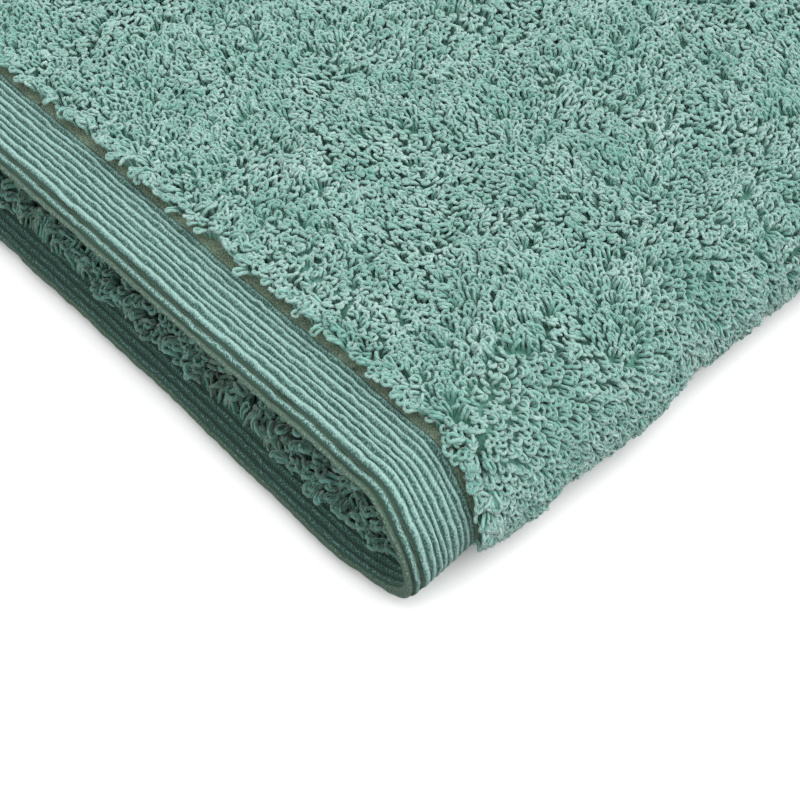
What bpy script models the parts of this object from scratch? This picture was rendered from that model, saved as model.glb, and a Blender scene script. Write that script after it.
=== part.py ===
"""Bath towel of terry cloth, folded once along its length and lying flat.

Metres, +Z up. The origin is the middle of the footprint, on the surface that the towel lies on.
X runs across the folded towel, with the fold at +X and the two loose side edges at -X.
Y runs along it, from the near end hem at -Y to the far end hem at +Y.

The cloth follows one path across X: the lower layer, a round bend, and the upper layer. Every piece
is a strip of that path, a grid of points along the path (s) and along the towel (y), given a
thickness. s is measured from the middle of the bend: negative is the lower layer.
"""
import math

import bmesh
import bpy

# Driving dimensions: the cloth laid out flat
TOWEL_WIDTH = 0.70           # across the fold
TOWEL_LENGTH = 1.40          # along the fold

# Terry: the ground weave with loops on both faces
STACK_HEIGHT = 0.0300        # two layers of terry, from the table to the top of the pile
TERRY_THICKNESS = 0.0126     # one layer, loop tip to loop tip
PILE_ROUNDING = 0.0050       # how far the loops round off along an edge of the terry
PILE_EDGE_SHARE = 0.45       # thickness left right at that edge

# Hems: flat woven cloth turned under and sewn, with no loops
END_HEM_WIDTH = 0.0205       # the ribbed band at each end
END_HEM_THICKNESS = 0.0034
END_HEM_LOW = 0.0013         # underside of the band above the table
END_HEM_HIGH = 0.0272        # top of the band's upper layer
END_HEM_SETBACK = 0.0012     # the band's bend stays inside the terry's bend by this much
SIDE_HEM_WIDTH = 0.0110
SIDE_HEM_THICKNESS = 0.0026
SIDE_HEM_LOW = 0.0015        # underside of the lower layer's side hem
SIDE_HEM_HIGH = 0.0250       # top of the upper layer's side hem

# Sewing thread, one line of stitches on each hem
THREAD_WIDTH = 0.0008
THREAD_THICKNESS = 0.0005
END_STITCH_INSET = 0.0165    # from the terry's edge into the end hem
SIDE_STITCH_INSET = 0.0020   # from the terry's edge into the side hem

FIT_GAP = 0.0003             # between pieces that touch

# Grid density
BEND_STEPS = 16
EDGE_STEPS = 4
RUN_STEPS = 6
LENGTH_STEPS = 8

SAGE_TERRY = (118, 160, 151)
SAGE_HEM = (124, 166, 156)
SAGE_THREAD = (134, 172, 160)
TERRY_ROUGHNESS = 0.95
HEM_ROUGHNESS = 0.85
THREAD_ROUGHNESS = 0.6

# Worked out from the driving dimensions
HALF_CLOTH = TOWEL_WIDTH / 2
HALF_LENGTH = TOWEL_LENGTH / 2
TERRY_RADIUS = (STACK_HEIGHT - TERRY_THICKNESS) / 2
TERRY_RUN = HALF_CLOTH - TERRY_RADIUS * math.pi / 2
FOLDED_WIDTH = TERRY_RUN + STACK_HEIGHT / 2
X_MAX = FOLDED_WIDTH / 2
X_MIN = -FOLDED_WIDTH / 2
TERRY_Y = HALF_LENGTH - END_HEM_WIDTH


class Path:
    """The middle of one kind of cloth across the fold: a run, a half circle and a run."""

    def __init__(self, low, high, thickness, setback):
        self.radius = (high - low - thickness) / 2
        self.height = (high + low) / 2
        self.centre_x = X_MAX - setback - thickness / 2 - self.radius
        self.half_bend = self.radius * math.pi / 2
        self.end = self.half_bend + self.centre_x - X_MIN

    def point(self, s):
        """Place and outward normal at s, in the XZ plane."""
        if abs(s) <= self.half_bend:
            angle = s / self.radius
            normal = (math.cos(angle), math.sin(angle))
            return (self.centre_x + self.radius * normal[0], self.height + self.radius * normal[1]), normal
        side = math.copysign(1.0, s)
        x = self.centre_x - (abs(s) - self.half_bend)
        return (x, self.height + side * self.radius), (0.0, side)


TERRY = Path(0.0, STACK_HEIGHT, TERRY_THICKNESS, 0.0)
END_HEM = Path(END_HEM_LOW, END_HEM_HIGH, END_HEM_THICKNESS, END_HEM_SETBACK)
SIDE_HEM = Path(SIDE_HEM_LOW, SIDE_HEM_HIGH, SIDE_HEM_THICKNESS, 0.0)


def clear_scene():
    for obj in list(bpy.data.objects):
        bpy.data.objects.remove(obj, do_unlink=True)


def srgb_to_linear(value):
    c = value / 255
    return c / 12.92 if c <= 0.04045 else ((c + 0.055) / 1.055) ** 2.4


def material(name, srgb, roughness):
    mat = bpy.data.materials.new(name)
    mat.use_nodes = True
    shader = mat.node_tree.nodes["Principled BSDF"]
    shader.inputs["Base Color"].default_value = (*(srgb_to_linear(v) for v in srgb), 1.0)
    shader.inputs["Roughness"].default_value = roughness
    shader.inputs["Metallic"].default_value = 0.0
    return mat


def spread(start, stop, steps):
    return [start + (stop - start) * i / steps for i in range(steps + 1)]


def with_edges(start, stop, steps, at_start, at_stop):
    """Values from start to stop, close together where the pile rounds off at an end."""
    ring = [PILE_ROUNDING * (1 - math.cos(math.pi / 2 * i / EDGE_STEPS)) for i in range(EDGE_STEPS)]
    low = [start + d for d in ring] if at_start else []
    high = [stop - d for d in reversed(ring)] if at_stop else []
    inner_start = start + PILE_ROUNDING if at_start else start
    inner_stop = stop - PILE_ROUNDING if at_stop else stop
    return low + spread(inner_start, inner_stop, steps) + high


def pile_share(distance):
    """Share of the full thickness at a distance from the edge of the terry."""
    if distance >= PILE_ROUNDING:
        return 1.0
    rise = math.sqrt(1 - (1 - max(distance, 0.0) / PILE_ROUNDING) ** 2)
    return PILE_EDGE_SHARE + (1 - PILE_EDGE_SHARE) * rise


def strip(name, path, s_values, y_values, half_thickness, mat, lift=0.0):
    """A closed strip of cloth: its outer and inner faces, and a wall round its rim."""
    mesh = bpy.data.meshes.new(name)
    bm = bmesh.new()
    faces_of_grid = []
    for side in (1.0, -1.0):
        grid = []
        for s in s_values:
            (x, z), (nx, nz) = path.point(s)
            row = []
            for y in y_values:
                offset = lift + side * half_thickness(s, y)
                row.append(bm.verts.new((x + nx * offset, y, z + nz * offset)))
            grid.append(row)
        faces_of_grid.append(grid)
    outer, inner = faces_of_grid
    last_s = len(s_values) - 1
    last_y = len(y_values) - 1
    for i in range(last_s):
        for j in range(last_y):
            bm.faces.new((outer[i][j], outer[i + 1][j], outer[i + 1][j + 1], outer[i][j + 1]))
            bm.faces.new((inner[i][j], inner[i][j + 1], inner[i + 1][j + 1], inner[i + 1][j]))
    rim = [(i, 0) for i in range(last_s)]
    rim += [(last_s, j) for j in range(last_y)]
    rim += [(i, last_y) for i in range(last_s, 0, -1)]
    rim += [(0, j) for j in range(last_y, 0, -1)]
    for k, (i, j) in enumerate(rim):
        m, n = rim[(k + 1) % len(rim)]
        bm.faces.new((outer[i][j], inner[i][j], inner[m][n], outer[m][n]))
    bmesh.ops.recalc_face_normals(bm, faces=bm.faces)
    bm.to_mesh(mesh)
    bm.free()
    mesh.materials.append(mat)
    obj = bpy.data.objects.new(name, mesh)
    bpy.context.scene.collection.objects.link(obj)
    return obj


def make_terry(mat):
    """The terry in three strips: lower layer, bend and upper layer."""
    y_values = with_edges(-TERRY_Y + FIT_GAP, TERRY_Y - FIT_GAP, LENGTH_STEPS, True, True)
    loose_edge = TERRY.end - SIDE_HEM_WIDTH - FIT_GAP
    bend_edge = TERRY.half_bend

    def half_thickness(s, y):
        from_end = TERRY_Y - FIT_GAP - abs(y)
        from_side = loose_edge - abs(s)
        return TERRY_THICKNESS / 2 * pile_share(min(from_end, from_side))

    upper = with_edges(bend_edge + FIT_GAP, loose_edge, RUN_STEPS, False, True)
    lower = [-s for s in reversed(upper)]
    strip("upper_terry", TERRY, upper, y_values, half_thickness, mat)
    strip("fold_terry", TERRY, spread(-bend_edge, bend_edge, BEND_STEPS), y_values, half_thickness, mat)
    strip("lower_terry", TERRY, lower, y_values, half_thickness, mat)


def make_end_hem(end, side, mat):
    """The ribbed band across one end, in three strips. side is -1 at the near end, 1 at the far end."""
    y_values = sorted((side * TERRY_Y, side * HALF_LENGTH))

    def half_thickness(s, y):
        return END_HEM_THICKNESS / 2

    bend_edge = END_HEM.half_bend
    upper = spread(bend_edge + FIT_GAP, END_HEM.end, RUN_STEPS)
    lower = [-s for s in reversed(upper)]
    strip(end + "_hem_upper", END_HEM, upper, y_values, half_thickness, mat)
    strip(end + "_hem_fold", END_HEM, spread(-bend_edge, bend_edge, BEND_STEPS), y_values, half_thickness, mat)
    strip(end + "_hem_lower", END_HEM, lower, y_values, half_thickness, mat)


def make_side_hem(layer, side, mat):
    """The narrow hem along the loose edge of one layer. side is -1 below, 1 above."""
    edge = SIDE_HEM.end
    s_values = sorted((side * (edge - SIDE_HEM_WIDTH), side * edge))
    y_values = spread(-TERRY_Y + FIT_GAP, TERRY_Y - FIT_GAP, LENGTH_STEPS)

    def half_thickness(s, y):
        return SIDE_HEM_THICKNESS / 2

    strip(layer + "_side_hem", SIDE_HEM, s_values, y_values, half_thickness, mat)


def thread_half(s, y):
    return THREAD_THICKNESS / 2


def make_end_stitching(end, side, mat):
    """The line of thread round one end hem, on its outer face."""
    y = side * (TERRY_Y + END_STITCH_INSET)
    y_values = (y - THREAD_WIDTH / 2, y + THREAD_WIDTH / 2)
    edge = END_HEM.end - SIDE_HEM_WIDTH / 2
    s_values = [-edge] + spread(-END_HEM.half_bend, END_HEM.half_bend, BEND_STEPS) + [edge]
    lift = END_HEM_THICKNESS / 2 + FIT_GAP + THREAD_THICKNESS / 2
    strip(end + "_hem_stitching", END_HEM, s_values, y_values, thread_half, mat, lift)


def make_side_stitching(layer, side, mat):
    """The line of thread along the side hem of one layer, on its outer face."""
    s = side * (SIDE_HEM.end - SIDE_HEM_WIDTH + SIDE_STITCH_INSET)
    s_values = (s - THREAD_WIDTH / 2, s + THREAD_WIDTH / 2)
    y_values = spread(-TERRY_Y + SIDE_STITCH_INSET, TERRY_Y - SIDE_STITCH_INSET, LENGTH_STEPS)
    lift = SIDE_HEM_THICKNESS / 2 + FIT_GAP + THREAD_THICKNESS / 2
    strip(layer + "_side_stitching", SIDE_HEM, s_values, y_values, thread_half, mat, lift)


def build():
    clear_scene()
    terry = material("terry", SAGE_TERRY, TERRY_ROUGHNESS)
    hem = material("hem", SAGE_HEM, HEM_ROUGHNESS)
    thread = material("thread", SAGE_THREAD, THREAD_ROUGHNESS)
    make_terry(terry)
    for end, side in (("near", -1.0), ("far", 1.0)):
        make_end_hem(end, side, hem)
        make_end_stitching(end, side, thread)
    for layer, side in (("lower", -1.0), ("upper", 1.0)):
        make_side_hem(layer, side, hem)
        make_side_stitching(layer, side, thread)


build()
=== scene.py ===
"""The looks of a terry bath towel, folded once along its length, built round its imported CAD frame.

The cloth is one surface with two coordinates: s along the fold's cross-section, from the loose edge
of the lower layer (-1) round the bend (0) to the loose edge of the upper layer (1), and y along the
towel. Every piece is placed on that surface, then warped a little as real cloth lies. Metres, +Z up.
"""
import math

import bpy
import numpy as np
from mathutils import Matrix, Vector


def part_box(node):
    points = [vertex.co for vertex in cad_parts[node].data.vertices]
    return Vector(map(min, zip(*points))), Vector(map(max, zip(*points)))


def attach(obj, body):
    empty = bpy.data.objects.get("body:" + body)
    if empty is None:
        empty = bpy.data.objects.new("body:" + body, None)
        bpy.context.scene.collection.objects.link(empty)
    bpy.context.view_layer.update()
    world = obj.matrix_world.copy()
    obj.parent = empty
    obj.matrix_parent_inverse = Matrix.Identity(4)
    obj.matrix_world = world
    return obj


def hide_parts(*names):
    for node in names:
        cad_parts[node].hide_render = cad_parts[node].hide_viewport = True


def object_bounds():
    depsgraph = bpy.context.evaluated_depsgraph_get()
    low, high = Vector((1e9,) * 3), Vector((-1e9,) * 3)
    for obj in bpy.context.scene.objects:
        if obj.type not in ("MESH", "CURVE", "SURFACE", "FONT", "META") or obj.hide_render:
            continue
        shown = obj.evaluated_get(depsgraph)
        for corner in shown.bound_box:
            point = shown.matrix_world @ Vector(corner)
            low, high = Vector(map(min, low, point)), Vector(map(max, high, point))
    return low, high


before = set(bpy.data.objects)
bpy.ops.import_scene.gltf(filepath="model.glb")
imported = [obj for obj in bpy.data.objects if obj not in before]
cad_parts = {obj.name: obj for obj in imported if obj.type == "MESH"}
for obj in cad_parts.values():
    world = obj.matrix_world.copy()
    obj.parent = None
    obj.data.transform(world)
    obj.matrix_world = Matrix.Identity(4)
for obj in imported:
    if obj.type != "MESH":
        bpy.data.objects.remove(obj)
cad_low, cad_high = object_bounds()

# Places and sizes from the frame
X_MIN, X_MAX = cad_low[0], cad_high[0]
HALF_LENGTH = cad_high[1]
STACK = cad_high[2]
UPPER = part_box("upper_terry")
HEM_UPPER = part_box("near_hem_upper")
SIDE_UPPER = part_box("upper_side_hem")
TERRY_THICK = UPPER[1][2] - UPPER[0][2]
HEM_THICK = HEM_UPPER[1][2] - HEM_UPPER[0][2]
HEM_WIDTH = HEM_UPPER[1][1] - HEM_UPPER[0][1]
HEM_TOP = HEM_UPPER[1][2]
HEM_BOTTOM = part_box("near_hem_lower")[0][2]
HEM_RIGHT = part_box("near_hem_fold")[1][0]
SIDE_WIDTH = SIDE_UPPER[1][0] - SIDE_UPPER[0][0]
TERRY_Y = HALF_LENGTH - HEM_WIDTH
HALF_CLOTH = 0.35            # half the flat width of the towel

MM = 0.001
GROUND_HALF = 0.4 * MM       # half the thickness of the ground weave
BODY = "root"


def smooth(t):
    t = np.clip(t, 0.0, 1.0)
    return t * t * (3 - 2 * t)


def ease(value, start, stop):
    """0 up to start, 1 from stop on and smooth between. start may be the larger of the two."""
    return smooth((value - start) / (stop - start))


# ---------------------------------------------------------------- the surface of the cloth


def path_shape(low, high, thickness, right):
    """Radius, height and centre of the bend in the middle of a layer of that thickness."""
    radius = (high - low - thickness) / 2
    return np.array([radius, (high + low) / 2, right - thickness / 2 - radius])


TERRY_PATH = path_shape(0.0, STACK, TERRY_THICK, X_MAX)
HEM_PATH = path_shape(HEM_BOTTOM, HEM_TOP, HEM_THICK, HEM_RIGHT)
HEM_REACH = 0.016            # how far inside the terry the cloth still follows the hem
BEND_TOP = TERRY_PATH[0] * math.pi / 2      # along the cloth, from the middle of the bend to its top
SIDE_S = HALF_CLOTH - SIDE_WIDTH            # and to the edge of the terry


def hem_share(y):
    """1 on the end hems, falling to 0 a little way into the terry."""
    return smooth((np.abs(y) - TERRY_Y + HEM_REACH) / HEM_REACH)


def middle(s, y):
    """Place on the middle of the cloth, its outward normal, and the direction in which s grows."""
    share = hem_share(y)[..., None]
    shape = TERRY_PATH + (HEM_PATH - TERRY_PATH) * share
    radius, height, centre = shape[..., 0], shape[..., 1], shape[..., 2]
    bend = radius * math.pi / 2
    run = s * (bend + centre - X_MIN)
    angle = np.clip(run / radius, -math.pi / 2, math.pi / 2)
    over = np.maximum(np.abs(run) - bend, 0.0)
    cos, sin = np.cos(angle), np.sin(angle)
    zero = np.zeros_like(cos)
    place = np.stack([centre + radius * cos - over, y, height + radius * sin], -1)
    return place, np.stack([cos, zero, sin], -1), np.stack([-sin, zero, cos], -1)


class Waves:
    """Smooth noise of about that wavelength: sine waves in random directions, of unit rms."""

    def __init__(self, seed, wavelength, count=16):
        rng = np.random.default_rng(seed)
        angle = rng.uniform(0, 2 * math.pi, count)
        number = 2 * math.pi / (wavelength * rng.uniform(0.7, 1.6, count))
        phase = rng.uniform(0, 2 * math.pi, count)
        self.terms = list(zip(number * np.cos(angle), number * np.sin(angle), phase))

    def __call__(self, x, y):
        total = sum(np.sin(kx * x + ky * y + phase) for kx, ky, phase in self.terms)
        return total * math.sqrt(2 / len(self.terms))


# The bend: it sags, so that its lower part stands further out, and it has soft rolls
FOLD_LEAN = 0.20
LEAN_FADES = 0.30            # from the fold
BEND_REACH = 0.030           # how far from the fold the rolls reach
# rolls: distance from the near end, half width and height
ROLLS = ((0.0540, 0.0135, 0.0022), (0.0320, 0.0055, 0.0013), (0.0690, 0.0070, 0.0010))
TUCK = (0.055, 0.080, 1.6 * MM)         # further along, the bend lies further in: start, stop and depth
FOLD_LUMPS = 0.25 * MM       # and small lumps all along
FOOT_SPREAD = 2.0 * MM       # at the near end, the foot of the bend spreads out
FOOT_REACH = 0.026
# The near end: not quite square to the fold, with the lower layer showing a little beyond the upper one
SKEW = 0.036
SKEW_REACH = 0.40
SLIP = 2.4 * MM
SLIP_GROWS = (0.002, 0.024)  # from the fold
SLIP_FADES = (0.018, 0.103)
SLIP_FADE = 0.75
SLIP_REACH = 0.10
BELLY = 1.6 * MM             # half way up the bend its end stands out a little further
BELLY_GROWS = (0.012, 0.004)
BELLY_REACH = 0.05
END_WAVES = 0.1 * MM         # the ends wave a little
# Height: swells and lumps on the terry, and smaller lumps on the hems
SWELLS_HIGH = 0.7 * MM
HEM_LUMPS = 0.1 * MM
TERRY_LUMPS = 0.6 * MM

lumps = Waves(3, 0.034)
swells = Waves(5, 0.110)
fold_lumps = Waves(8, 0.030)
end_waves = Waves(12, 0.060)


def warp(p):
    """How the cloth really lies: a sagging bend, an end that isn't square, swells and lumps."""
    x, y, z = p[..., 0], p[..., 1], p[..., 2]
    from_fold = X_MAX - x
    from_end = y + HALF_LENGTH
    terry = 1 - hem_share(y)
    level = z / STACK

    bulge = FOLD_LUMPS * fold_lumps(y, z) * terry
    for place, half_width, height in ROLLS:
        bulge = bulge + height * np.exp(-((from_end - place) / half_width) ** 2)
    start, stop, depth = TUCK
    bulge = bulge - depth * ease(from_end, start, stop)
    bulge = bulge + FOOT_SPREAD * (1 - level) * ease(from_end, FOOT_REACH, 0)
    lean = FOLD_LEAN * (STACK / 2 - z) * ease(from_fold, LEAN_FADES, 0)
    x2 = x + lean + bulge * ease(from_fold, BEND_REACH, 0)

    skew = SKEW * SKEW_REACH * np.tanh(from_fold / SKEW_REACH) * ease(from_end, SKEW_REACH, 0)
    slip = SLIP * ease(from_fold, *SLIP_GROWS) * (1 - SLIP_FADE * ease(from_fold, *SLIP_FADES))
    slip = slip * smooth(1 - level) * ease(from_end, SLIP_REACH, 0)
    belly = BELLY * 4 * level * (1 - level) * ease(from_fold, *BELLY_GROWS) * ease(from_end, BELLY_REACH, 0)
    y2 = y + skew - slip - belly + END_WAVES * end_waves(x, level * 0.05) * (1 - terry)

    rise = SWELLS_HIGH * swells(x, y) * terry
    rise = rise + (HEM_LUMPS + (TERRY_LUMPS - HEM_LUMPS) * terry) * lumps(x, y)
    return np.stack([x2, y2, z + rise * level], -1)


# ---------------------------------------------------------------- meshes and materials


def mesh_piece(name, points, quads, mat, uvs=(), floats=()):
    """A shown piece, warped, from arrays: points, quads, corner UV layers and point attributes."""
    points = warp(points)
    mesh = bpy.data.meshes.new(name)
    mesh.vertices.add(len(points))
    mesh.vertices.foreach_set("co", points.astype(np.float32).ravel())
    mesh.loops.add(quads.size)
    mesh.loops.foreach_set("vertex_index", quads.astype(np.int32).ravel())
    mesh.polygons.add(len(quads))
    mesh.polygons.foreach_set("loop_start", np.arange(0, quads.size, 4, dtype=np.int32))
    mesh.update(calc_edges=True)
    for layer, values in uvs:
        data = mesh.uv_layers.new(name=layer).uv
        data.foreach_set("vector", values.astype(np.float32).ravel())
    for attribute, values in floats:
        data = mesh.attributes.new(attribute, "FLOAT", "POINT").data
        data.foreach_set("value", values.astype(np.float32).ravel())
    mesh.materials.append(mat)
    obj = bpy.data.objects.new(name, mesh)
    bpy.context.scene.collection.objects.link(obj)
    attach(obj, BODY)
    return obj


def linear(r, g, b):
    """A screen colour, 0 to 255, as linear light."""
    c = np.array([r, g, b]) / 255
    return (*np.where(c <= 0.04045, c / 12.92, ((c + 0.055) / 1.055) ** 2.4), 1.0)


class Nodes:
    """A material's node tree, with a short way to add and join nodes."""

    def __init__(self, name):
        self.mat = bpy.data.materials.new(name)
        self.mat.use_nodes = True
        self.tree = self.mat.node_tree
        self.shader = self.tree.nodes["Principled BSDF"]

    def feed(self, socket, value):
        if isinstance(value, bpy.types.NodeSocket):
            self.tree.links.new(value, socket)
        elif value is not None:
            socket.default_value = value

    def add(self, kind, inputs=(), **settings):
        node = self.tree.nodes.new("ShaderNode" + kind)
        for key, value in settings.items():
            setattr(node, key, value)
        for socket, value in dict(inputs).items():
            self.feed(node.inputs[socket], value)
        return node

    def math(self, operation, a, b=None, c=None):
        return self.add("Math", {0: a, 1: b, 2: c}, operation=operation).outputs[0]

    def mix(self, factor, a, b):
        node = self.add("Mix", {0: factor, 6: a, 7: b}, data_type="RGBA")
        return node.outputs[2]

    def ramp(self, value, low, high):
        node = self.add("MapRange", {0: value, 1: low, 2: high})
        return node.outputs[0]

    def noise(self, vector, scale, detail=2.0):
        node = self.add("TexNoise", {"Vector": vector, "Scale": scale, "Detail": detail})
        return node.outputs[0]

    def attribute(self, name):
        return self.add("Attribute", attribute_name=name).outputs["Fac"]

    def set(self, **sockets):
        for name, value in sockets.items():
            self.feed(self.shader.inputs[name.replace("_", " ")], value)


ROOT_SHADE = linear(88, 168, 148)           # painted shade at the root of a loop, deep in the pile: darker and more saturated
SHADED = linear(108, 170, 156)        # the side of the yarn that faces into its own loop
BODY_COLOUR = linear(121, 181, 168)
PALE = linear(184, 220, 213)
INNER_FACE_SHADE = linear(86, 118, 98)           # painted shade on the inner face of the fold, where little light reaches
CORD_SHADE_AND_HIGHLIGHT = (linear(58, 96, 86), linear(163, 204, 197))      # painted shade in a groove and painted highlight on a crest
OLIVE = (linear(86, 106, 84), linear(146, 162, 140))            # plain cloth in the hem
DEEPEST_GROOVE_SHADE = linear(54, 72, 58)           # painted shade in the deepest grooves of the hem
# the ground weave's own pattern, kept darker than the loops as painted shade deep in the pile
GROUND_COLOURS = (linear(82, 140, 124), linear(116, 168, 154))
SIDE_HEM_COLOURS = (linear(78, 112, 100), linear(130, 170, 160))
THREAD_COLOURS = (linear(50, 66, 54), linear(72, 94, 78))

LOOP_TWISTS = 7
THREAD_TWISTS = 5
FIBRES = (40.0, 9.0, 1.0)             # fibres along a loop and round it
CORD_YARNS = (0.62, 0.80)             # millimetres from yarn to yarn, along a cord and round it
WEAVE_YARNS = (0.9, 0.8)


def two_ply(n, uv, twists):
    """The twist of a two-ply strand, from -1 to 1, with that many twists along it."""
    way = n.add("SeparateXYZ", {0: uv})
    turns = n.math("MULTIPLY", way.outputs[0], 2 * math.pi * twists)
    return n.math("SINE", n.math("MULTIPLY_ADD", way.outputs[1], 4 * math.pi, turns))


def yarn_material():
    """Two-ply cotton loops, each a little lighter or darker, with painted shade at the root, on the side of
    the yarn that faces into its own loop and on the inner face.
    """
    n = Nodes("terry_yarn")
    uv = n.add("UVMap", uv_map="Yarn").outputs[0]
    twist = two_ply(n, uv, LOOP_TWISTS)
    fine = n.add("VectorMath", {0: uv, 1: FIBRES}, operation="MULTIPLY").outputs[0]
    fibres = n.noise(fine, 1.0, 3.0)
    tone = n.math("ADD", n.attribute("tint"), n.math("MULTIPLY_ADD", fibres, 0.35, -0.18))
    colour = n.mix(n.ramp(tone, 0.0, 1.0), BODY_COLOUR, PALE)
    # rim: painted shade on the side of the yarn that faces into its own loop
    colour = n.mix(n.ramp(n.attribute("rim"), -0.9, 0.5), SHADED, colour)
    # painted shade towards the root of each loop
    colour = n.mix(n.ramp(n.attribute("depth"), 0.0, 0.7), ROOT_SHADE, colour)
    # painted shade on the loops of the inner face
    colour = n.mix(n.ramp(tone, -0.6, 0.0), INNER_FACE_SHADE, colour)
    height = n.math("MULTIPLY_ADD", twist, 0.5, n.math("MULTIPLY", fibres, 0.8))
    bump = n.add("Bump", {"Strength": 1.0, "Distance": 0.18 * MM, "Height": height})
    n.set(Base_Color=colour, Roughness=0.75, Normal=bump.outputs[0])
    n.set(Sheen_Weight=0.9, Sheen_Roughness=0.4, Sheen_Tint=linear(244, 246, 244))
    n.set(Specular_IOR_Level=0.35)
    return n.mat


def cord_material():
    """The hem's cords: fine yarns that cross them aslant, with a painted highlight on the crests and painted
    shade in the grooves, olive and darkest in the deepest ones.
    """
    n = Nodes("hem_cords")
    uv = n.add("UVMap", uv_map="Weave").outputs[0]
    way = n.add("SeparateXYZ", {0: uv})
    round_way = n.math("MULTIPLY", way.outputs[1], 2 * math.pi / CORD_YARNS[1])
    yarns = n.math("MULTIPLY_ADD", way.outputs[0], 2 * math.pi / CORD_YARNS[0], round_way)
    wobble = n.noise(uv, 1.3, 3.0)
    crossing = n.math("SINE", n.math("MULTIPLY_ADD", wobble, 5.0, yarns))
    fuzz = n.noise(uv, 2.2, 4.0)
    # crest paints light and shade: a highlight on the cords, shade in the grooves and on the fold
    crest = n.attribute("crest")
    tone = n.math("MULTIPLY_ADD", crossing, 0.10, n.math("MULTIPLY_ADD", fuzz, 2.2, -1.14))
    level = n.ramp(n.math("ADD", crest, tone), 0.05, 0.90)
    colour = n.mix(level, *CORD_SHADE_AND_HIGHLIGHT)
    olive = n.mix(n.ramp(fuzz, 0.35, 0.65), *OLIVE)
    colour = n.mix(n.attribute("plain"), colour, olive)
    colour = n.mix(n.ramp(crest, -1.0, 0.0), DEEPEST_GROOVE_SHADE, colour)
    height = n.math("MULTIPLY_ADD", crossing, 0.15, n.math("MULTIPLY", fuzz, 2.0))
    bump = n.add("Bump", {"Strength": 0.9, "Distance": 0.22 * MM, "Height": height})
    n.set(Base_Color=colour, Roughness=0.85, Normal=bump.outputs[0])
    n.set(Sheen_Weight=0.25, Sheen_Roughness=0.5, Sheen_Tint=linear(214, 240, 232))
    n.set(Specular_IOR_Level=0.3)
    return n.mat


def weave_material(name, dark, light):
    """The plain weave that the loops stand on and the side hems are made of."""
    n = Nodes(name)
    uv = n.add("UVMap", uv_map="Weave").outputs[0]
    way = n.add("SeparateXYZ", {0: uv})
    warp_yarn = n.math("SINE", n.math("MULTIPLY", way.outputs[0], 2 * math.pi / WEAVE_YARNS[0]))
    weft_yarn = n.math("SINE", n.math("MULTIPLY", way.outputs[1], 2 * math.pi / WEAVE_YARNS[1]))
    weave = n.math("MULTIPLY", warp_yarn, weft_yarn)
    fuzz = n.noise(uv, 2.5, 3.0)
    level = n.math("MULTIPLY_ADD", weave, 0.25, fuzz)
    colour = n.mix(n.ramp(level, 0.2, 0.9), dark, light)
    bump = n.add("Bump", {"Strength": 0.6, "Distance": 0.15 * MM, "Height": level})
    n.set(Base_Color=colour, Roughness=0.88, Normal=bump.outputs[0])
    n.set(Sheen_Weight=0.2, Sheen_Roughness=0.5, Specular_IOR_Level=0.3)
    return n.mat


def thread_material():
    """Sewing thread: a twisted strand, darker than the cloth."""
    n = Nodes("sewing_thread")
    twist = two_ply(n, n.add("UVMap", uv_map="Yarn").outputs[0], THREAD_TWISTS)
    colour = n.mix(n.ramp(twist, -1.0, 1.0), *THREAD_COLOURS)
    bump = n.add("Bump", {"Strength": 0.5, "Distance": 0.08 * MM, "Height": twist})
    n.set(Base_Color=colour, Roughness=0.6, Normal=bump.outputs[0], Specular_IOR_Level=0.45)
    return n.mat


# ---------------------------------------------------------------- terry loops

PILE_TOP = TERRY_THICK / 2 - 0.3 * MM       # over the middle of the cloth
SUNK = 0.3 * MM              # how far the loops' roots go into the ground
LOWEST = 0.15 * MM           # the lowest that a loop may reach
ROOT_GAP = 0.7 * MM          # between the two roots of a loop
NECK_WIDTH = 0.72            # width of a loop where its legs meet its tip, as a share of the tip's
TIP_DIP = 25                 # degrees of the tip's circle below its middle, at either side
STEM = 0.40                  # share of a loop that stands straight before it curls over
LEAST_CLIMB = 0.6            # least height of a loop, as a share of its length
SCATTER = 0.32               # how far a root may lie from its place, as a share of the pitch
# The lower halves of the outer loops are never seen: the ground is raised and stands for them
GROUND_RISE = 3.4 * MM
RISE_GROWS = (1 * MM, 6 * MM)           # from the edges of the terry

# What turns a loop: its tuft, smooth waves over the towel and the way to the middle of its tuft
TUFT_PITCH = 6.0 * MM        # loops lean together in tufts about this far apart
TUFT_CELLS = 64
TUFT_RADIUS = 0.6            # of the pitch
FACE_SHIFT = 0.137           # so that the two faces don't have the same tufts
TUFT_TURN, FLOW_TURN, DRIFT_TURN = 0.35, 0.55, 0.30
TUFT_PULL = 0.08 / MM
END_ROWS = 4 * MM            # so near the end of the terry loops lean out over the hem,
END_TURN = 1.2               # by this much on top
END_TURN_UNDER = 0.1         # and by this much under the bend
BEND_TURN = 0.7              # outer loops turn down round the bend
CORNER_TURN = 0.6            # and there towards the end hem
CORNER_REACH = 0.020
HEADING_SPREAD = 1.05
BEND_ORDER = 0.5             # share of that spread which loops on the bend lack
# middle, spread, least and most of what differs from loop to loop
START_TILT = (16, 9, 0, 38)  # degrees from upright, at the root
TIP_TILT = (70, 26, 42, 125)            # and at the tip
WIDTHS = (1.0, 0.20, 0.6, 1.6)
SWELLS = (1.0, 0.09, 0.75, 1.3)
END_TILT = 10                # tips lean over further at the ends of the terry
INNER_TILT = 20              # and on the inner face
TIP_ROLL, ROOT_ROLL = 0.32, 0.5         # spread of a loop's turn about its own line
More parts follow.
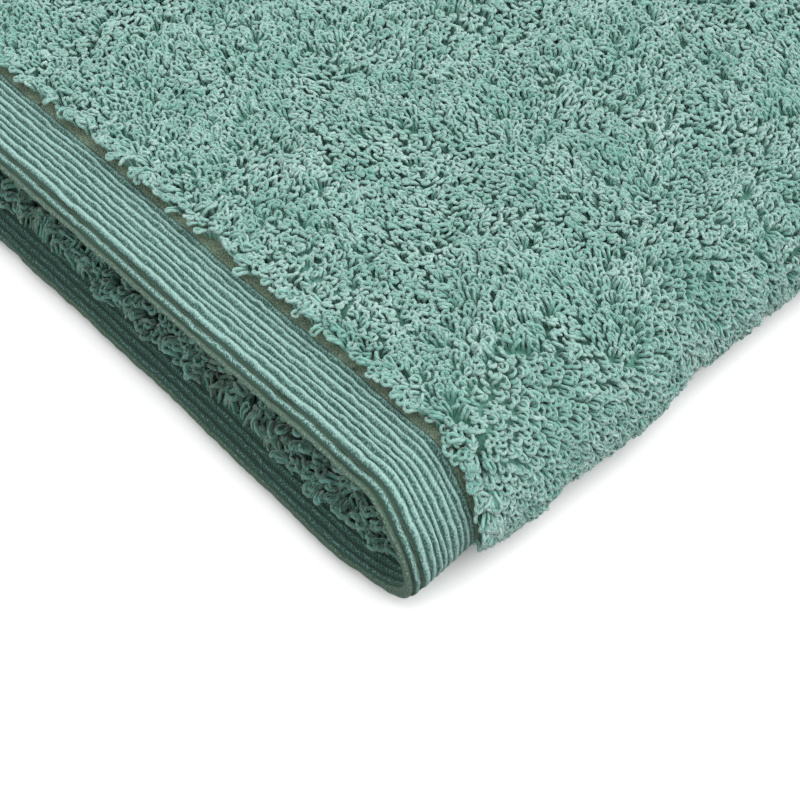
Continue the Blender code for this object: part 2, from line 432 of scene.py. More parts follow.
# Height: by waves, by chance, lower at the rim of a tuft, lower where loops would hang out
NAP_SIZE, SIZE_SPREAD, RIM_DROP = 0.05, 0.05, 0.09
INNER_BEND_DROP = 0.5
INNER_MOUTH_DROP = 0.4
MOUTH_GROWS = (7 * MM, 13 * MM)         # beyond the end of the terry
NOTCH_DROP = 0.4             # of outer loops under the bend, at the end of the terry
NOTCH_REACH = 0.008
# Tone: middle, then by chance, by waves and by tuft
TINT, TINT_SPREAD, TINT_WAVES, TINT_TUFT = 0.45, 0.16, 0.14, 0.20

tuft_table = np.random.default_rng(21).uniform(0.08, 0.92, (TUFT_CELLS, TUFT_CELLS, 3))
flow_s, flow_y = Waves(31, 0.028), Waves(32, 0.028)
drift_s, drift_y = Waves(33, 0.070), Waves(34, 0.070)
nap = Waves(35, 0.028)
tone_waves = Waves(36, 0.016)


def tuft(a, b):
    """From each point to the middle of its tuft, and a number that the tuft's loops share."""
    i0, j0 = np.floor(a / TUFT_PITCH).astype(int), np.floor(b / TUFT_PITCH).astype(int)
    best = np.full(a.shape, np.inf)
    to_a, to_b, shared = np.zeros_like(a), np.zeros_like(a), np.zeros_like(a)
    for i in (i0 - 1, i0, i0 + 1):
        for j in (j0 - 1, j0, j0 + 1):
            cell = tuft_table[i % TUFT_CELLS, j % TUFT_CELLS]
            da = (i + cell[..., 0]) * TUFT_PITCH - a
            db = (j + cell[..., 1]) * TUFT_PITCH - b
            nearer = da * da + db * db < best
            best = np.where(nearer, da * da + db * db, best)
            to_a, to_b = np.where(nearer, da, to_a), np.where(nearer, db, to_b)
            shared = np.where(nearer, cell[..., 2], shared)
    return to_a, to_b, shared


def field(low, high, pitch, seed):
    """Loop roots in a rectangle of the flat cloth: staggered rows, each root a little off its place."""
    rng = np.random.default_rng(seed)
    count_a = max(1, round((high[0] - low[0]) / pitch))
    count_b = max(1, round((high[1] - low[1]) / pitch))
    share_a = (np.arange(count_a) + 0.5) / count_a
    share_b = (np.arange(count_b) + 0.5) / count_b
    a, b = np.meshgrid(share_a, share_b, indexing="ij")
    a = a + (np.arange(count_b) % 2 - 0.5) * 0.5 / count_a
    a = low[0] + (high[0] - low[0]) * a.ravel() + rng.uniform(-SCATTER, SCATTER, a.size) * pitch
    b = low[1] + (high[1] - low[1]) * b.ravel() + rng.uniform(-SCATTER, SCATTER, b.size) * pitch
    return np.clip(a, low[0], high[0]), np.clip(b, low[1], high[1])


def join(*fields):
    """The roots of several fields together."""
    return (np.concatenate(values) for values in zip(*fields))


def tube(points, side, radius, sides):
    """Rings round lines of points, shaped (lines, rings, 3), and the quads between them."""
    lines, rings = points.shape[:2]
    run = np.gradient(points, axis=1)
    run /= np.linalg.norm(run, axis=-1, keepdims=True) + 1e-12
    first = side - (side * run).sum(-1, keepdims=True) * run
    first /= np.linalg.norm(first, axis=-1, keepdims=True) + 1e-12
    second = np.cross(run, first)
    turn = np.arange(sides) * 2 * math.pi / sides
    ring = (first[:, :, None] * np.cos(turn)[:, None] + second[:, :, None] * np.sin(turn)[:, None])
    verts = points[:, :, None] + ring * radius[:, :, None, None]
    index = np.arange(lines * rings * sides).reshape(lines, rings, sides)
    across = np.roll(index, -1, axis=2)
    quads = np.stack([index[:, :-1], across[:, :-1], across[:, 1:], index[:, 1:]], -1)
    return verts.reshape(-1, 3), quads.reshape(-1, 4)


def yarn_uvs(lines, rings, sides):
    """Corner UVs: how far along the yarn and how far round it, then the same in a cell for each line."""
    along = np.arange(rings - 1) / (rings - 1)
    around = np.arange(sides) / sides
    step = np.array([[0, 0], [0, 1 / sides], [1 / (rings - 1), 1 / sides], [1 / (rings - 1), 0]])
    yarn = np.stack(np.meshgrid(along, around, indexing="ij"), -1)[None, :, :, None] + step
    yarn = np.broadcast_to(yarn, (lines, rings - 1, sides, 4, 2))
    cells = math.ceil(math.sqrt(lines))
    corner = np.stack([np.arange(lines) % cells, np.arange(lines) // cells], -1)[:, None, None, None]
    return yarn.reshape(-1, 2), ((corner + 0.1 + 0.8 * yarn) / cells).reshape(-1, 2)


def loop_outline(arc_points, legs, length, wide):
    """A loop seen flat, root to root: how far out and how high each ring stands, one row for each loop."""
    tip = wide / 2
    neck = length - tip
    dip = math.radians(TIP_DIP)
    turn = np.linspace(math.pi + dip, -dip, arc_points)
    share = np.array(legs)
    leg_out = ROOT_GAP / 2 + (NECK_WIDTH * tip[:, None] - ROOT_GAP / 2) * share
    leg_high = neck[:, None] * share
    out = [-leg_out, tip[:, None] * np.cos(turn), leg_out[:, ::-1]]
    high = [leg_high, neck[:, None] + tip[:, None] * np.sin(turn), leg_high[:, ::-1]]
    return np.concatenate(out, 1), np.concatenate(high, 1)


def ground_level(s, y):
    """Height of the outer ground over the middle of the cloth: raised, but thin again near its edges."""
    inside = np.minimum(TERRY_Y - np.abs(y), SIDE_S - np.abs(s))
    return GROUND_HALF + GROUND_RISE * ease(inside, *RISE_GROWS)


def vary(rng, count, mean, spread, least, most):
    """Random numbers round a mean, cut off at both ends."""
    return np.clip(rng.normal(mean, spread, count), least, most)


def loop_headings(rng, a, b, face, forward, tufts):
    """Which way each loop curls over, as an angle from +s towards +y."""
    to_a, to_b, shared = tufts
    turn = shared * 12 * math.pi
    head_a = TUFT_TURN * np.cos(turn) + FLOW_TURN * flow_s(a, b) + DRIFT_TURN * drift_s(a, b)
    head_b = TUFT_TURN * np.sin(turn) + FLOW_TURN * flow_y(a, b) + DRIFT_TURN * drift_y(a, b)
    head_a = head_a + TUFT_PULL * to_a
    head_b = head_b + TUFT_PULL * to_b
    out_turn = END_TURN + (END_TURN_UNDER - END_TURN) * ease(a, 0, -BEND_TOP)
    head_b = head_b + np.sign(b) * end_rows(b) * out_turn * forward
    if face > 0:
        head_a = head_a - BEND_TURN * bend_share(a)
        corner = bend_share(a) * ease(TERRY_Y - np.abs(b), CORNER_REACH, 0)
        head_b = head_b + CORNER_TURN * np.sign(b) * corner
    spread = rng.normal(0, HEADING_SPREAD, len(a)) * (1 - BEND_ORDER * bend_share(a))
    return np.arctan2(head_b, head_a) + spread


def loop_sizes(rng, a, b, face, tufts):
    """How tall each loop stands, as a share of the pile's height."""
    to_a, to_b, shared = tufts
    rim = np.clip(np.hypot(to_a, to_b) / (TUFT_PITCH * TUFT_RADIUS), 0, 1.3) ** 3
    size = 1 + NAP_SIZE * nap(a, b) + rng.normal(0, SIZE_SPREAD, len(a)) - RIM_DROP * rim
    size = size * (0.95 + 0.10 * shared)
    outside = np.abs(b) - TERRY_Y
    if face < 0:
        size = size * (1 - INNER_BEND_DROP * bend_share(a))
        return size * (1 - INNER_MOUTH_DROP * ease(outside, *MOUTH_GROWS))
    below = ease(a, 0.4 * BEND_TOP, -0.6 * BEND_TOP)
    return size * (1 - NOTCH_DROP * below * ease(outside, -NOTCH_REACH, 0))


def bend_share(s):
    """1 on the middle half of the bend, falling to 0 a little way into the layers."""
    return ease(np.abs(s), 1.5 * BEND_TOP, 0.5 * BEND_TOP)


def end_rows(y):
    """1 at the end of the terry and beyond it, falling evenly to 0 inside."""
    return 1 - np.clip((TERRY_Y - np.abs(y)) / END_ROWS, 0, 1)


def make_loops(name, a, b, face, mat, seed, arc, legs, sides, thick, wide, light=0.0, tall=1.0, forward=1.2):
    """A piece of pile: one tube of yarn for each root (a along s in metres, b along y).

    Each loop rises from its root and curls over towards its own heading, so that its rounded tip lies
    on its neighbours like a scale. Headings agree within a tuft and drift over the towel.
    """
    rng = np.random.default_rng(seed)
    count = len(a)
    place, normal, along_s = middle(a / HALF_CLOTH, b)
    up = normal * face
    along_y = np.zeros_like(up)
    along_y[:, 1] = 1.0
    level = ground_level(a, b) if face > 0 else np.full(count, GROUND_HALF)
    place = place + up * (level - SUNK)[:, None]
    tufts = tuft(a + FACE_SHIFT * face, b)
    heading = loop_headings(rng, a, b, face, forward, tufts)
    start_tilt = np.radians(vary(rng, count, *START_TILT))
    more_tilt = END_TILT * end_rows(b) + (INNER_TILT if face < 0 else 0)
    tip_tilt = np.radians(vary(rng, count, *TIP_TILT) + more_tilt)
    size = loop_sizes(rng, a, b, face, tufts) * tall
    hem_drop = (HEM_TOP - HEM_THICK / 2) - (STACK - TERRY_THICK / 2)
    height = PILE_TOP - level + SUNK - max(face, 0) * hem_drop * hem_share(b)
    height = height * np.clip(size, 0.5, 1.8)
    arc_share = 1 - STEM
    bend = tip_tilt - start_tilt
    climb = STEM * np.cos(start_tilt) + arc_share * (np.sin(tip_tilt) - np.sin(start_tilt)) / bend
    length = height / np.maximum(climb, LEAST_CLIMB)
    width = wide * vary(rng, count, *WIDTHS)

    # the loop's line: straight up to STEM of its length, then an arc of a circle
    out, high = loop_outline(arc, legs, length, width)
    share = np.clip(high / length[:, None], 0, 1)
    straight = np.minimum(share, STEM)
    tilt0, bend = start_tilt[:, None], bend[:, None]
    tilt = tilt0 + bend * np.maximum(share - STEM, 0) / arc_share
    rise = straight * np.cos(tilt0) + arc_share * (np.sin(tilt) - np.sin(tilt0)) / bend
    reach_out = straight * np.sin(tilt0) + arc_share * (np.cos(tilt0) - np.cos(tilt)) / bend
    roll = rng.normal(0, TIP_ROLL, count)[:, None] + rng.normal(0, ROOT_ROLL, count)[:, None] * (1 - share)
    ahead = along_s * np.cos(heading)[:, None] + along_y * np.sin(heading)[:, None]
    across = along_y * np.cos(heading)[:, None] - along_s * np.sin(heading)[:, None]
    ahead, across, upright = ahead[:, None], across[:, None], up[:, None]
    face_way = ahead * np.cos(tilt)[..., None] - upright * np.sin(tilt)[..., None]
    wide_way = across * np.cos(roll)[..., None] + face_way * np.sin(roll)[..., None]
    side = face_way * np.cos(roll)[..., None] - across * np.sin(roll)[..., None]
    line = ahead * reach_out[..., None] + upright * rise[..., None]
    points = place[:, None] + line * length[:, None, None] + wide_way * out[..., None]
    radius = thick / 2 * vary(rng, count, *SWELLS)[:, None] * (0.92 + 0.12 * share)
    verts, quads = tube(points, side, radius, sides)
    verts[:, 2] = np.maximum(verts[:, 2], LOWEST)

    # light adds painted lightening to the tone of the coarse far loops
    tint = TINT + TINT_SPREAD * rng.normal(0, 1, count) + TINT_WAVES * tone_waves(a, b)
    tint = np.clip(tint + TINT_TUFT * (tufts[2] - 0.5) + light, 0, 1)
    # loops on the inner face get tones below 0, which paint them with the inner face's shade
    if face < 0:
        tint = tint * 0.5 - 0.5
    # rim: painted shade on the side of the yarn that faces into its own loop, which light takes away on the
    # coarse far loops
    rim = face * np.sin(np.arange(sides) * 2 * math.pi / sides) + 3 * light
    shape = (count, share.shape[1], sides)
    tints = np.broadcast_to(tint[:, None, None], shape)
    depth = np.broadcast_to(share[:, :, None], shape)
    yarn, cell = yarn_uvs(*shape)
    return mesh_piece(name, verts, quads, mat, [("Yarn", yarn), ("OFBake", cell)],
                      [("tint", tints), ("depth", depth), ("rim", np.broadcast_to(rim, shape))])


CLOSE_REACH = 0.222          # the corner that is seen closely: distance from fold plus distance from end
CLOSE_PITCH = 1.30 * MM
CLOSE_YARN = dict(arc=6, legs=(0, 0.6), sides=5, thick=0.70 * MM, wide=1.28 * MM)
INNER_PITCH = 1.65 * MM
INNER_YARN = dict(arc=6, legs=(0, 0.6), sides=5, thick=0.85 * MM, wide=1.65 * MM)
FAR_PITCH = 2.60 * MM
# light: painted lightening of the coarse far loops, which also takes away their painted inner-side shade
FAR_YARN = dict(arc=3, legs=(0,), sides=3, thick=1.50 * MM, wide=2.1 * MM, light=0.22)
MAX_TRIANGLES = 190_000
BEND_PITCH = 1.2             # the bend has these loops as well, so much further apart
OUTER_LOW = -BEND_TOP - 0.010           # where the outer pile stops under the bend
NOTCH_LOW = -0.55 * BEND_TOP            # under this, no loops stand right at the end of the terry
UNDERSIDE_SHOWN = 0.008      # width of the pile along the edges of the underside
INNER_START = 0.0145         # the inner pile reaches this far under the end hem,
INNER_BEND_START = 0.005     # or this far at the bend
INNER_DEEP = 0.014           # this far inside the terry from its ends
INNER_DEEP_SIDE = 0.022      # and this far from its loose sides
INNER_REACH = 0.17           # the finer inner pile goes this far from the fold, along the cloth


def from_corner(a, b):
    """Distance from the fold, on either layer, plus the distance from the near end."""
    return np.maximum(np.abs(a) - BEND_TOP, 0.0) + b + HALF_LENGTH


def split(name, a, b, face, mat, seed, yarn, **how):
    """Pile over an area, in strips along the towel that each stay a handy size."""
    per_loop = (yarn["arc"] + 2 * len(yarn["legs"]) - 1) * yarn["sides"] * 2
    pieces = math.ceil(len(a) * per_loop / MAX_TRIANGLES)
    order = np.argsort(b, kind="stable")
    made = []
    for k, part in enumerate(np.array_split(order, pieces)):
        label = name if pieces == 1 else f"{name}_{k + 1}"
        made.append(make_loops(label, a[part], b[part], face, mat, seed + k, **yarn, **how))
    return made


def make_pile(mat):
    """All the loops that can be seen: the outer face, and the inner face near its openings."""
    made = []
    low, high = (-SIDE_S, -TERRY_Y), (SIDE_S, TERRY_Y)
    close_end = -TERRY_Y + CLOSE_REACH
    # outer face, close corner: the whole of it, more on the bend, and an edge row over the end hem
    close = field((OUTER_LOW, -TERRY_Y), (CLOSE_REACH, close_end), CLOSE_PITCH, 101)
    bend_low = (-BEND_TOP, -TERRY_Y - 2.6 * MM)
    more = field(bend_low, (BEND_TOP, close_end), CLOSE_PITCH * BEND_PITCH, 106)
    edge = field((OUTER_LOW, -TERRY_Y - 1 * MM), (CLOSE_REACH, -TERRY_Y + 1 * MM), CLOSE_PITCH, 107)
    a, b = join(close, more, edge)
    keep = (from_corner(a, b) < CLOSE_REACH) & ((a > NOTCH_LOW) | (b > -TERRY_Y + 1 * MM))
    made += split("pile_near_corner", a[keep], b[keep], 1, mat, 201, CLOSE_YARN)
    # outer face, the rest of the top and the bend
    far = field((OUTER_LOW, low[1]), high, FAR_PITCH, 102)
    more = field((-BEND_TOP, low[1]), (BEND_TOP, high[1]), FAR_PITCH * BEND_PITCH, 108)
    a, b = join(far, more)
    keep = from_corner(a, b) >= CLOSE_REACH
    made += split("pile_outer", a[keep], b[keep], 1, mat, 301, FAR_YARN)
    # the underside, only near its edges
    a, b = field(low, (OUTER_LOW, high[1]), FAR_PITCH, 103)
    keep = (np.abs(b) > TERRY_Y - UNDERSIDE_SHOWN) | (a < low[0] + UNDERSIDE_SHOWN)
    made += split("pile_underside_edges", a[keep], b[keep], 1, mat, 401, FAR_YARN)
    # inner face: finer near the near end, coarser along the far end and the loose edges
    inner_low = (-INNER_REACH, -TERRY_Y - INNER_START)
    a, b = field(inner_low, (INNER_REACH, -TERRY_Y + INNER_DEEP), INNER_PITCH, 104)
    keep = (np.abs(a) > BEND_TOP * 1.15) | (b > -TERRY_Y - INNER_BEND_START)
    made += split("pile_inside_near_end", a[keep], b[keep], -1, mat, 501, INNER_YARN, tall=1.1, forward=1.2)
    a, b = field(low, high, FAR_PITCH, 105)
    at_end = np.abs(b) > TERRY_Y - INNER_DEEP
    taken = (np.abs(a) < INNER_REACH) & (b < 0)
    keep = (at_end & ~taken) | (~at_end & (np.abs(a) > SIDE_S - INNER_DEEP_SIDE))
    made += split("pile_inside_edges", a[keep], b[keep], -1, mat, 601, FAR_YARN, tall=1.35, forward=1.5)
    return made


# ---------------------------------------------------------------- ground cloth, hems and thread


def grid_quads(rows, columns):
    """Quads of a grid of points, joined round from the last column to the first."""
    index = np.arange(rows * columns).reshape(rows, columns)
    index = np.concatenate([index, index[:, :1]], 1)
    return np.stack([index[:-1, :-1], index[1:, :-1], index[1:, 1:], index[:-1, 1:]], -1).reshape(-1, 4)


def end_caps(rows, columns):
    """Quads that close the first and the last ring of such a grid, each from one half to the other."""
    half = columns // 2
    caps = []
    for row, flip in ((0, False), (rows - 1, True)):
        ring = row * columns + np.arange(columns)
        low, high = ring[:half], ring[columns - half:][::-1]
        cap = np.stack([low[:-1], low[1:], high[1:], high[:-1]], -1)
        caps.append(cap[:, ::-1] if flip else cap)
    return caps


def stepped(*stops):
    """Values through (value, step to the next) stops."""
    values = []
    for (start, step), (stop, _) in zip(stops[:-1], stops[1:]):
        values.append(np.linspace(start, stop, max(1, round((stop - start) / step)), endpoint=False))
    return np.concatenate(values + [[stops[-1][0]]])


def corner_values(quads, per_point):
    return per_point[quads.ravel()]


def make_ground(mat):
    """The ground weave, a closed sheet under the whole terry."""
    half = BEND_TOP * 1.2
    s = stepped((-HALF_CLOTH, 3 * MM), (-half, 1.2 * MM), (half, 4 * MM), (HALF_CLOTH, 0))
    fine = TERRY_Y - 0.03
    y = stepped((-TERRY_Y - 2 * MM, 1.5 * MM), (-fine, 5 * MM), (fine, 1.5 * MM), (TERRY_Y + 2 * MM, 0))
    ss, yy = np.meshgrid(s / HALF_CLOTH, y, indexing="ij")
    place, normal, _ = middle(ss, yy)
    level = ground_level(ss * HALF_CLOTH, yy)[..., None]
    shell = np.concatenate([place + normal * level, (place - normal * GROUND_HALF)[:, ::-1]], 1)
    flat_s = np.concatenate([ss, ss[:, ::-1]], 1) * HALF_CLOTH / MM
    flat_y = np.concatenate([yy, yy[:, ::-1]], 1) / MM
    rows, columns = shell.shape[:2]
    quads = np.concatenate([grid_quads(rows, columns), *end_caps(rows, columns)])
    flat = np.stack([flat_s, flat_y], -1).reshape(-1, 2)
    weave = corner_values(quads, flat)
    return mesh_piece("towel_cloth", shell.reshape(-1, 3), quads, mat, [("Weave", weave)])


# cords of the hem, in millimetres: distance from the outer edge and height
CORDS_MM = ((4.40, 0.72), (6.35, 0.70), (7.75, 0.70), (9.10, 0.72), (10.40, 0.70),
            (12.25, 0.72), (13.80, 0.60), (15.00, 0.70), (16.50, 0.35))
CORDS = [(distance * MM, height * MM) for distance, height in CORDS_MM]
CORD_HEIGHT = 0.70 * MM
CORD_BASE = HEM_THICK / 2 - CORD_HEIGHT
CORD_POWER = 1.9             # how sharply cords rise: over 1 has a foot, 1 is a sine
FIRST_CORD_FOOT = 0.95 * MM  # from the middle of the outermost cord
LAST_CORD_FOOT = 0.60 * MM   # and of the innermost
SEAM_FROM_EDGE = 3.0 * MM    # the groove that the seam lies in
SEAM_DEEP = 0.30 * MM        # below the foot of the cords
EDGE_CORD = (1.15 * MM, 1.65 * MM, 0.50 * MM)   # along the edge of the fold: its start, width and height
NOSE = 0.7 * MM              # the fold itself: its reach seen from above, its middle and its radius
NOSE_MIDDLE = 0.25 * MM
NOSE_RADIUS = 0.55 * MM
BEND_BUNCH = 0.9 * MM        # the cloth turned under is thicker inside the bend
FLAP = 7.0 * MM              # the cloth turned under inside the hem
INNER_RIBS = 4
INNER_RIB_HEIGHT = 0.24 * MM
TAIL = 4 * MM                # the hem goes this far under the terry
TAIL_INSIDE = 0.2 * MM       # half its thickness there
RIB_STEPS = 8
NOSE_STEPS = 16
PRESSED = 0.9                # share of the cords' height that is lost below the middle of the bend
# numbers of the rows that aren't among the cords, from which their wander comes
EDGE_CORD_NUMBER, NOSE_NUMBER, INNER_RIB_NUMBER = 20, 21, 30


def rib_rows(start, step, base, height, crests, cord, power):
    """One cord of the profile: RIB_STEPS rows from start to start + step, rising height over base."""
    rows = []
    for k in range(RIB_STEPS):
        t = k / RIB_STEPS
        bump = math.sin(math.pi * t) ** power
        crest = crests[0] + (crests[1] - crests[0]) * bump
        rows.append((start + t * step, base + height * bump, crest, 0, cord))
    return rows


def hem_profile():
    """Round the hem's cross-section: (distance from the outer edge, offset, crest, plain, cord number).

    crest paints light and shade on the cloth: a highlight at 1 on a cord, shade at 0 in an ordinary groove
    and the darkest shade at -1 in the deepest one. plain is 1 where there is plain cloth and no cord.
    """
    base = CORD_BASE
    deep = HEM_WIDTH + TAIL
    centres = [d for d, _ in CORDS]
    bounds = [(a + b) / 2 for a, b in zip(centres[:-1], centres[1:])]
    bounds = [centres[0] - FIRST_CORD_FOOT, *bounds, centres[-1] + LAST_CORD_FOOT]
    rows = [(deep, base * 0.8, 0.3, 1, 0), (HEM_WIDTH, base, 0.3, 1, 0)]
    rows.append((bounds[-1] + 0.2 * MM, base, 0.3, 1, 0))
    for number, (_, height) in reversed(list(enumerate(CORDS))):
        start, stop = bounds[number + 1], bounds[number]
        crests = (0, height / CORD_HEIGHT)
        rows += rib_rows(start, stop - start, base, height, crests, number + 1, CORD_POWER)
    rows += [(bounds[0], base - 0.05 * MM, -0.6, 0, 0), (SEAM_FROM_EDGE, base - SEAM_DEEP, -0.9, 0.3, 0)]
    start, width, height = EDGE_CORD
    rows += rib_rows(start + width, -width, base - 0.10 * MM, height, (-0.5, 0.55), EDGE_CORD_NUMBER, 1.1)
    rows.append((start, base - 0.35 * MM, -1.0, 0, 0))
    for k in range(NOSE_STEPS + 1):
        turn = math.pi * k / NOSE_STEPS
        cord = abs(math.sin(1.5 * turn))
        stand = 0.85 + 0.15 * cord
        offset = NOSE_MIDDLE + NOSE_RADIUS * math.cos(turn) * stand
        rows.append((NOSE * (1 - math.sin(turn) * stand), offset, -0.45 + 0.6 * cord, 0.4, NOSE_NUMBER))
    d, inner = NOSE, NOSE_MIDDLE - NOSE_RADIUS
    for rib in range(INNER_RIBS):
        width = FLAP / INNER_RIBS
        rows += rib_rows(d, width, inner, -INNER_RIB_HEIGHT, (-0.7, 0.25), INNER_RIB_NUMBER + rib, 1.0)
        d += width
    rows.append((d, inner, -0.5, 0.5, 0))
    rows += [(d + 0.5 * MM, -TAIL_INSIDE, 0.2, 1, 0), (deep, -TAIL_INSIDE, 0.2, 1, 0)]
    return np.array(rows)


rib_wander = Waves(41, 0.013)
rib_jog = Waves(43, 0.0035)
rib_swell = Waves(42, 0.004)


def make_end_hem(name, side, mat):
    """The corded band across one end of the towel, round the fold. side is -1 at the near end."""
    profile = hem_profile()
    fine = 0.17 if side < 0 else BEND_TOP * 1.5
    step = 0.55 * MM if side < 0 else 1.2 * MM
    s = stepped((-HALF_CLOTH, 3 * MM), (-fine, step), (fine, 3 * MM), (HALF_CLOTH, 0))
    ss, dd = np.meshgrid(s, profile[:, 0], indexing="ij")
    offset, crest, plain, cord = (np.broadcast_to(profile[:, k], ss.shape) for k in range(1, 5))
    wander = (0.09 * rib_wander(ss, cord * 0.011) + 0.06 * rib_jog(ss, cord * 0.017)) * MM
    swell = 1 + 0.08 * rib_swell(ss, cord * 0.013)
    dd = dd + np.where(cord > 0, wander, 0.3 * wander)
    offset = offset * np.where((cord > 0) & (crest > 0.3), swell, 1.0)
    pressed = PRESSED * ease(ss, 0.3 * BEND_TOP, -0.7 * BEND_TOP)
    offset = np.where(offset > CORD_BASE, CORD_BASE + (offset - CORD_BASE) * (1 - pressed), offset)
    inside = np.clip((NOSE_MIDDLE - offset) / NOSE_RADIUS, 0, 1)
    offset = offset - BEND_BUNCH * inside * bend_share(ss)
    place, normal, _ = middle(ss / HALF_CLOTH, side * (HALF_LENGTH - np.minimum(dd, HEM_WIDTH)))
    place[..., 1] = side * (HALF_LENGTH - dd)
    points = place + normal * offset[..., None]
    rows, columns = ss.shape
    quads = np.concatenate([grid_quads(rows, columns), *end_caps(rows, columns)])
    if side > 0:
        quads = quads[:, ::-1]
    steps = np.hypot(np.diff(profile[:, 0]), np.diff(profile[:, 1]))
    round_way = np.concatenate([[0.0], np.cumsum(steps)]) / MM
    flat = np.stack([ss / MM, np.broadcast_to(round_way, ss.shape)], -1).reshape(-1, 2)
    return mesh_piece(name, points.reshape(-1, 3), quads, mat, [("Weave", corner_values(quads, flat))],
                      [("crest", crest), ("plain", plain)])


# upper half of a side hem's cross-section: share of the way to the edge, share of SIDE_HALF
SIDE_OUTLINE = ((0.0, 0.9), (0.15, 1.0), (0.5, 0.92), (0.85, 1.0), (0.96, 0.8), (1.0, 0.0))
SIDE_HALF = 1.3 * MM
SIDE_DROOP = 2.2 * MM
SIDE_START = SIDE_S - 2 * MM


def make_side_hem(name, layer, mat):
    """The narrow hem along one loose edge. layer is -1 below and 1 above."""
    profile = np.array(SIDE_OUTLINE)
    profile = np.concatenate([profile, profile[-2::-1] * (1, -1)])
    y = stepped((-TERRY_Y - 1 * MM, 4 * MM), (TERRY_Y + 1 * MM, 0))
    yy, across = np.meshgrid(y, profile[:, 0], indexing="ij")
    run = SIDE_START + (HALF_CLOTH - SIDE_START) * across
    place, normal, _ = middle(layer * run / HALF_CLOTH, yy)
    points = place + normal * SIDE_HALF * profile[:, 1][None, :, None]
    points[..., 2] -= SIDE_DROOP * smooth(across) * (1 - hem_share(yy))
    rows, columns = yy.shape
    quads = grid_quads(rows, columns)
    flat = np.stack([np.broadcast_to(np.arange(columns) * 1.2, yy.shape), yy / MM], -1).reshape(-1, 2)
    if layer > 0:
        quads = quads[:, ::-1]
    return mesh_piece(name, points.reshape(-1, 3), quads, mat, [("Weave", corner_values(quads, flat))])


STITCH = 2.9 * MM
STITCH_PITCH = 3.3 * MM
STITCH_RADIUS = 0.20 * MM
STITCH_LIFT = 0.18 * MM
STITCH_RINGS = 7
STITCH_SIDES = 6
SIDE_SEAM = 2 * MM           # from the edge of the terry
SIDE_SEAM_LIFT = 1.2 * MM
SIDE_SEAM_DROOP = 0.5 * MM


def make_stitches(name, centre, toward, up, mat):
    """A row of stitches: short curved tubes at centre, along toward, dipping into the cloth."""
    t = np.linspace(-1, 1, STITCH_RINGS)
    lift = STITCH_LIFT * (1 - 1.9 * np.abs(t) ** 3)
    along = (t * STITCH / 2)[None, :, None]
    points = centre[:, None] + toward[:, None] * along + up[:, None] * lift[None, :, None]
    side = np.broadcast_to(np.cross(toward, up)[:, None], points.shape)
    radius = np.broadcast_to(STITCH_RADIUS * np.sqrt(1.05 - t ** 4)[None], points.shape[:2])
    verts, quads = tube(points, side, radius, STITCH_SIDES)
    yarn, cell = yarn_uvs(len(centre), STITCH_RINGS, STITCH_SIDES)
    return mesh_piece(name, verts, quads, mat, [("Yarn", yarn), ("OFBake", cell)])


def make_end_stitching(name, side, mat):
    """The seam of an end hem, in the groove beside its outermost cords."""
    s = np.arange(-SIDE_S, SIDE_S, STITCH_PITCH)
    place, normal, along = middle(s / HALF_CLOTH, np.full_like(s, side * (HALF_LENGTH - SEAM_FROM_EDGE)))
    return make_stitches(name, place + normal * (CORD_BASE - SEAM_DEEP), along, normal, mat)


def make_side_stitching(name, layer, mat):
    """The seam of a side hem."""
    y = np.arange(-TERRY_Y + 4 * MM, TERRY_Y - 4 * MM, STITCH_PITCH)
    run = SIDE_S + SIDE_SEAM
    place, normal, _ = middle(np.full_like(y, layer * run / HALF_CLOTH), y)
    place[:, 2] -= SIDE_SEAM_DROOP * (1 - hem_share(y))
    toward = np.zeros_like(normal)
    toward[:, 1] = 1.0
    return make_stitches(name, place + normal * SIDE_SEAM_LIFT, toward, normal, mat)


# ---------------------------------------------------------------- floor, light and camera

FLOOR_SIZE = 60.0
FLOOR_WHITE = 0.86
FLOOR_GLOW = 0.62
SHADOW_REACH = 0.015         # the floor's own light fades this close to the towel
SKY = 0.94
HORIZON = (-0.06, -0.02)     # the sky starts between these heights of a view's direction
BELOW = (0.09, 0.40)         # light from the floor, towards -X and +X, in place of the floor's own light
KEY = 1.65
KEY_ANGLE = 60               # degrees
KEY_FROM = dict(azimuth=150, elevation=50)
WHITE = (1.0, 1.0, 1.0, 1.0)

TARGET = np.array([X_MAX - 0.0227, -HALF_LENGTH + 0.0175, STACK])
CAMERA_DISTANCE = 0.417
CAMERA_AZIMUTH = math.radians(46.2)
CAMERA_ELEVATION = math.radians(48.7)
LENS = 102.5


def make_floor():
    """A white floor whose own light fades near the towel, as a soft shadow would."""
    n = Nodes("floor_white")
    n.set(Base_Color=(FLOOR_WHITE, FLOOR_WHITE, FLOOR_WHITE, 1.0), Roughness=0.95, Specular_IOR_Level=0.0)
    near = n.add("AmbientOcclusion", {"Distance": SHADOW_REACH})
    glow = n.math("MULTIPLY", near.outputs["AO"], FLOOR_GLOW)
    n.set(Emission_Color=WHITE, Emission_Strength=glow)
    n.mat.cycles.emission_sampling = "NONE"
    corners = [(-FLOOR_SIZE, -FLOOR_SIZE, 0), (FLOOR_SIZE, -FLOOR_SIZE, 0),
               (FLOOR_SIZE, FLOOR_SIZE, 0), (-FLOOR_SIZE, FLOOR_SIZE, 0)]
    mesh = bpy.data.meshes.new("floor")
    mesh.from_pydata(corners, [], [(0, 1, 2, 3)])
    mesh.materials.append(n.mat)
    floor = bpy.data.objects.new("floor", mesh)
    floor.visible_diffuse = False
    floor.visible_glossy = False
    bpy.context.scene.collection.objects.link(floor)


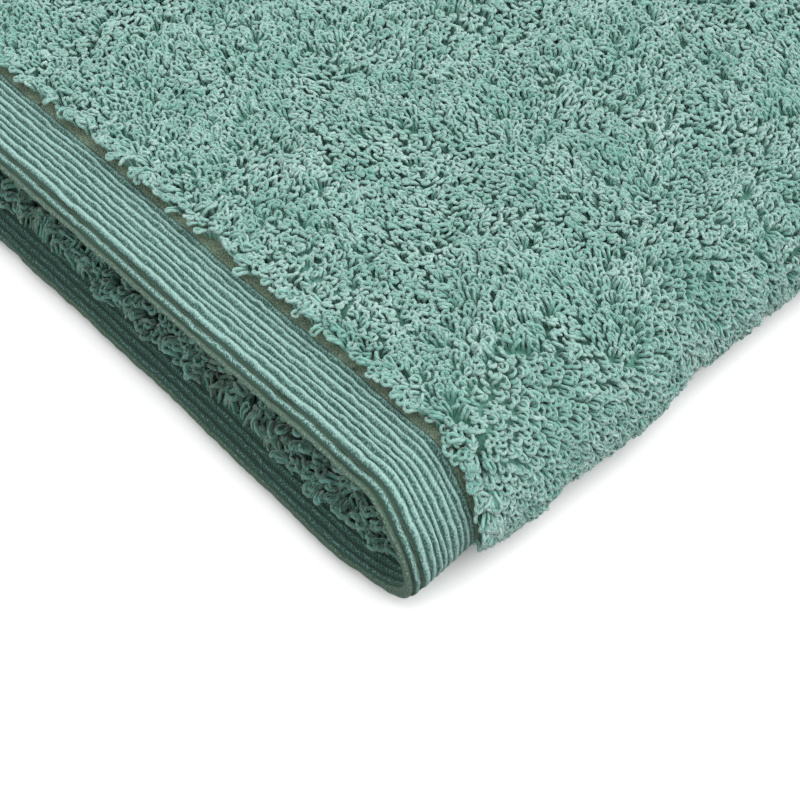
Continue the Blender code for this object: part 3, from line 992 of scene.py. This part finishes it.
def make_sky():
    """An even sky, and below the horizon the light that the floor would throw back."""
    world = bpy.data.worlds.new("studio")
    world.use_nodes = True
    tree = world.node_tree
    upward = tree.nodes.new("ShaderNodeSeparateXYZ")
    tree.links.new(tree.nodes.new("ShaderNodeTexCoord").outputs["Generated"], upward.inputs[0])
    low = tree.nodes.new("ShaderNodeMapRange")
    for socket, value in enumerate((-1.0, 1.0, *BELOW), 1):
        low.inputs[socket].default_value = value
    tree.links.new(upward.outputs[0], low.inputs[0])
    level = tree.nodes.new("ShaderNodeMapRange")
    for socket, value in enumerate((*HORIZON, 0.0, SKY), 1):
        level.inputs[socket].default_value = value
    tree.links.new(upward.outputs[2], level.inputs[0])
    tree.links.new(low.outputs[0], level.inputs[3])
    tree.links.new(level.outputs[0], tree.nodes["Background"].inputs["Strength"])
    tree.nodes["Background"].inputs["Color"].default_value = WHITE
    bpy.context.scene.world = world


def make_key():
    """One broad key light from behind."""
    key = bpy.data.lights.new("key", "SUN")
    key.energy = KEY
    key.angle = math.radians(KEY_ANGLE)
    key_object = bpy.data.objects.new("key", key)
    key_object.rotation_euler = direction_to_light(**KEY_FROM)
    bpy.context.scene.collection.objects.link(key_object)


def direction_to_light(azimuth, elevation):
    """Rotation of a lamp that shines from that azimuth, counted from -Y towards +X, and elevation."""
    return (math.radians(90 - elevation), 0.0, math.radians(azimuth))


def make_camera():
    """Looks down at the corner between the fold and the near end."""
    back = np.array([math.sin(CAMERA_AZIMUTH) * math.cos(CAMERA_ELEVATION),
                     -math.cos(CAMERA_AZIMUTH) * math.cos(CAMERA_ELEVATION), math.sin(CAMERA_ELEVATION)])
    data = bpy.data.cameras.new("camera")
    data.lens = LENS
    data.clip_start = 0.01
    camera = bpy.data.objects.new("camera", data)
    camera.location = TARGET + back * CAMERA_DISTANCE
    camera.rotation_euler = (math.pi / 2 - CAMERA_ELEVATION, 0.0, CAMERA_AZIMUTH)
    bpy.context.scene.collection.objects.link(camera)
    bpy.context.scene.camera = camera


# ---------------------------------------------------------------- the towel


def build():
    make_camera()
    make_floor()
    make_sky()
    make_key()
    bpy.context.scene.view_settings.view_transform = "Standard"
    yarn, cords, thread = yarn_material(), cord_material(), thread_material()
    ground_weave = weave_material("ground_weave", *GROUND_COLOURS)
    hem_weave = weave_material("hem_weave", *SIDE_HEM_COLOURS)
    cloth = make_ground(ground_weave)
    pile = make_pile(yarn)
    ends = [make_end_hem("near_hem", -1, cords), make_end_hem("far_hem", 1, cords)]
    sides = [make_side_hem("lower_side_hem_cloth", -1, hem_weave),
             make_side_hem("upper_side_hem_cloth", 1, hem_weave)]
    seams = [make_end_stitching("near_hem_seam", -1, thread), make_end_stitching("far_hem_seam", 1, thread),
             make_side_stitching("lower_side_seam", -1, thread),
             make_side_stitching("upper_side_seam", 1, thread)]

    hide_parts("upper_terry", "fold_terry", "lower_terry")
    for end, piece in zip(("near", "far"), ends):
        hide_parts(f"{end}_hem_upper", f"{end}_hem_fold", f"{end}_hem_lower")
    for piece, node in zip(sides, ("lower_side_hem", "upper_side_hem")):
        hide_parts(node)
    nodes = ("near_hem_stitching", "far_hem_stitching", "lower_side_stitching", "upper_side_stitching")
    for piece, node in zip(seams, nodes):
        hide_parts(node)


build()
